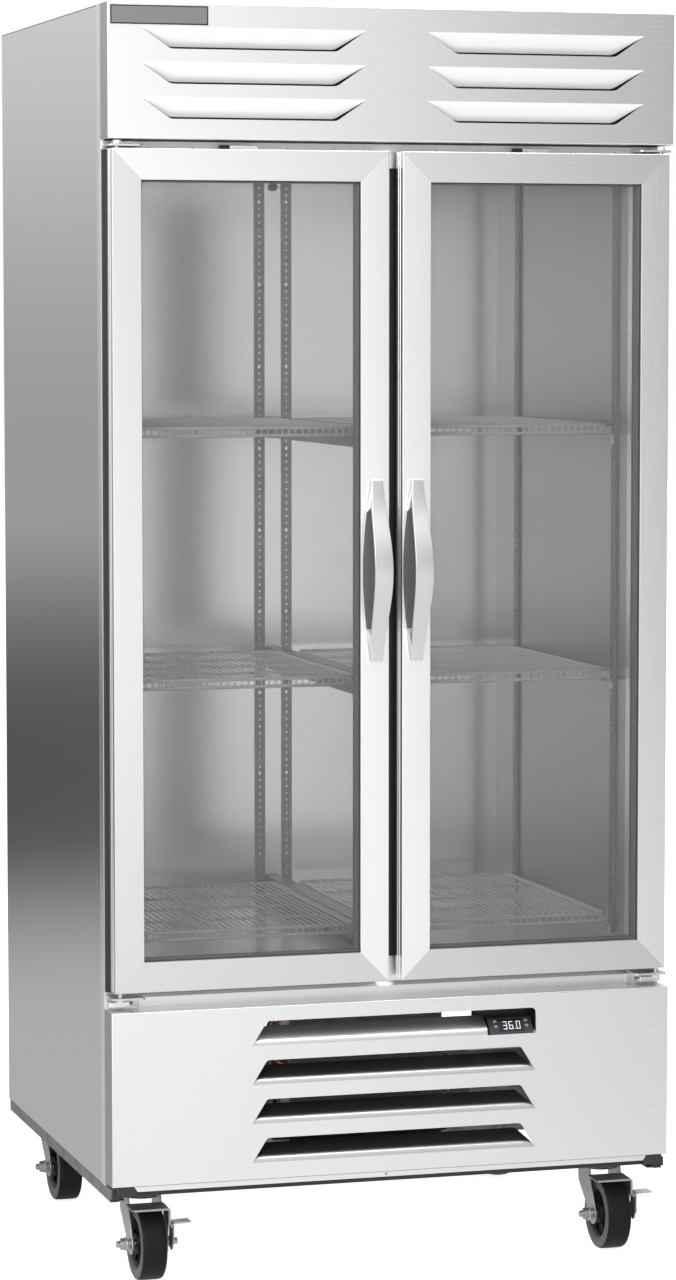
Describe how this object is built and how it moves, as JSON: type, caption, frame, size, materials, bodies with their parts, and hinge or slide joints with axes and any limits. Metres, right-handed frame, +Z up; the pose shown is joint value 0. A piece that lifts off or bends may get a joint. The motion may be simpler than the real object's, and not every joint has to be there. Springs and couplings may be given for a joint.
{
  "type": "glass door merchandiser",
  "caption": "Tall stainless refrigerator with swinging glass doors, wire shelves, louvred hood, lower air grille and swivel casters.",
  "frame": {"origin": "on the floor, under the middle of the object's box", "axes": "+Z up, the doors face -Y, +X towards the right-hand door as seen from the front"},
  "size_m": [0.99, 0.903, 2.1448],
  "materials": {
    "brushed_steel": "satin",
    "zinc_sheet": "satin",
    "dark_steel": "satin",
    "satin_handle": "satin",
    "glass": "gloss",
    "black_plastic": "satin",
    "black_rubber": "matte",
    "wheel_rubber": "satin",
    "white_foam": "matte",
    "shelf_wire": "satin",
    "aluminium": "satin",
    "lamp_lens": "satin",
    "grey_button": "matte",
    "badge_plate": "satin"
  },
  "bodies": {
    "cabinet": {"side_panel_left": "brushed_steel", "side_panel_right": "brushed_steel", "top_back_panel": "zinc_sheet", "face_frame": "brushed_steel", "mullion": "black_plastic", "insulation_body": "white_foam", "inner_liner": "brushed_steel", "base_frame": "zinc_sheet", "badge_plate": "badge_plate", "top_hood": "brushed_steel", "lower_grille": "brushed_steel", "hinge_top_left": "zinc_sheet", "hinge_bottom_left": "zinc_sheet", "hinge_top_right": "zinc_sheet", "hinge_bottom_right": "zinc_sheet", "shelf_left_bottom": "shelf_wire", "shelf_left_middle": "shelf_wire", "shelf_left_top": "shelf_wire", "shelf_right_bottom": "shelf_wire", "shelf_right_middle": "shelf_wire", "shelf_right_top": "shelf_wire", "pilaster_back_left": "zinc_sheet", "pilaster_back_right": "zinc_sheet", "pilaster_left_front": "zinc_sheet", "pilaster_left_rear": "zinc_sheet", "pilaster_right_front": "zinc_sheet", "pilaster_right_rear": "zinc_sheet", "evaporator_cover": "aluminium", "evaporator_coil": "aluminium", "led_lamp": "lamp_lens", "condenser_coil": "aluminium", "condenser_shroud": "dark_steel", "compressor": "dark_steel", "unit_tray": "zinc_sheet", "cord_gland": "black_plastic", "controller_housing": "black_plastic"},
    "left_door": {"door_frame_left": "brushed_steel", "door_glass_left": "glass", "door_gasket_left": "black_rubber", "door_handle_left": "satin_handle"},
    "right_door": {"door_frame_right": "brushed_steel", "door_glass_right": "glass", "door_gasket_right": "black_rubber", "door_handle_right": "satin_handle"},
    "front_left_swivel": {"caster_fork_front_left": "zinc_sheet"},
    "front_left_wheel": {"caster_wheel_front_left": "wheel_rubber"},
    "front_right_swivel": {"caster_fork_front_right": "zinc_sheet"},
    "front_right_wheel": {"caster_wheel_front_right": "wheel_rubber"},
    "rear_left_swivel": {"caster_fork_rear_left": "zinc_sheet"},
    "rear_left_wheel": {"caster_wheel_rear_left": "wheel_rubber"},
    "rear_right_swivel": {"caster_fork_rear_right": "zinc_sheet"},
    "rear_right_wheel": {"caster_wheel_rear_right": "wheel_rubber"},
    "front_left_brake": {"brake_lever_front_left": "zinc_sheet"},
    "front_right_brake": {"brake_lever_front_right": "zinc_sheet"},
    "button_1": {"controller_button_1": "grey_button"},
    "button_2": {"controller_button_2": "grey_button"},
    "button_3": {"controller_button_3": "grey_button"},
    "button_4": {"controller_button_4": "grey_button"},
    "condenser_fan_rotor": {"condenser_fan": "black_plastic"},
    "evaporator_fan_rotor": {"evaporator_fan": "black_plastic"}
  },
  "joints": [
    {"name": "left_door_hinge", "type": "hinge", "parent": "cabinet", "child": "left_door", "pos_m": [-0.4765, -0.3875, 1.2], "axis": [0, 0, -1], "range_deg": [0, 120], "stiffness_Nm_per_rad": 1.5},
    {"name": "right_door_hinge", "type": "hinge", "parent": "cabinet", "child": "right_door", "pos_m": [0.4765, -0.3875, 1.2], "axis": [0, 0, 1], "range_deg": [0, 120], "stiffness_Nm_per_rad": 1.5},
    {"name": "front_left_swivel_turn", "type": "hinge", "parent": "cabinet", "child": "front_left_swivel", "pos_m": [-0.4164, -0.2758, 0.14], "axis": [0, 0, 1], "continuous": true},
    {"name": "front_left_wheel_roll", "type": "hinge", "parent": "front_left_swivel", "child": "front_left_wheel", "pos_m": [-0.4164, -0.3178, 0.0625], "axis": [1, 0, 0], "continuous": true},
    {"name": "front_right_swivel_turn", "type": "hinge", "parent": "cabinet", "child": "front_right_swivel", "pos_m": [0.4164, -0.2758, 0.14], "axis": [0, 0, 1], "continuous": true},
    {"name": "front_right_wheel_roll", "type": "hinge", "parent": "front_right_swivel", "child": "front_right_wheel", "pos_m": [0.4164, -0.3178, 0.0625], "axis": [1, 0, 0], "continuous": true},
    {"name": "rear_left_swivel_turn", "type": "hinge", "parent": "cabinet", "child": "rear_left_swivel", "pos_m": [-0.4164, 0.3748, 0.14], "axis": [0, 0, 1], "continuous": true},
    {"name": "rear_left_wheel_roll", "type": "hinge", "parent": "rear_left_swivel", "child": "rear_left_wheel", "pos_m": [-0.4164, 0.3328, 0.0625], "axis": [1, 0, 0], "continuous": true},
    {"name": "rear_right_swivel_turn", "type": "hinge", "parent": "cabinet", "child": "rear_right_swivel", "pos_m": [0.4164, 0.3748, 0.14], "axis": [0, 0, 1], "continuous": true},
    {"name": "rear_right_wheel_roll", "type": "hinge", "parent": "rear_right_swivel", "child": "rear_right_wheel", "pos_m": [0.4164, 0.3328, 0.0625], "axis": [1, 0, 0], "continuous": true},
    {"name": "front_left_brake_press", "type": "hinge", "parent": "front_left_swivel", "child": "front_left_brake", "pos_m": [-0.4164, -0.3178, 0.0625], "axis": [1, 0, 0], "range_deg": [0, 15]},
    {"name": "front_right_brake_press", "type": "hinge", "parent": "front_right_swivel", "child": "front_right_brake", "pos_m": [0.4164, -0.3178, 0.0625], "axis": [1, 0, 0], "range_deg": [0, 15]},
    {"name": "button_1_press", "type": "slide", "parent": "cabinet", "child": "button_1", "axis": [0, 0.8192, -0.5736], "range_m": [0, 0.0015], "stiffness_N_per_m": 300},
    {"name": "button_2_press", "type": "slide", "parent": "cabinet", "child": "button_2", "axis": [0, 0.8192, -0.5736], "range_m": [0, 0.0015], "stiffness_N_per_m": 300},
    {"name": "button_3_press", "type": "slide", "parent": "cabinet", "child": "button_3", "axis": [0, 0.8192, -0.5736], "range_m": [0, 0.0015], "stiffness_N_per_m": 300},
    {"name": "button_4_press", "type": "slide", "parent": "cabinet", "child": "button_4", "axis": [0, 0.8192, -0.5736], "range_m": [0, 0.0015], "stiffness_N_per_m": 300},
    {"name": "condenser_fan_spin", "type": "hinge", "parent": "cabinet", "child": "condenser_fan_rotor", "pos_m": [-0.017, -0.2122, 0.326], "axis": [0, 1, 0], "continuous": true},
    {"name": "evaporator_fan_spin", "type": "hinge", "parent": "cabinet", "child": "evaporator_fan_rotor", "pos_m": [0, -0.1465, 1.995], "axis": [0, 1, 0], "continuous": true}
  ]
}
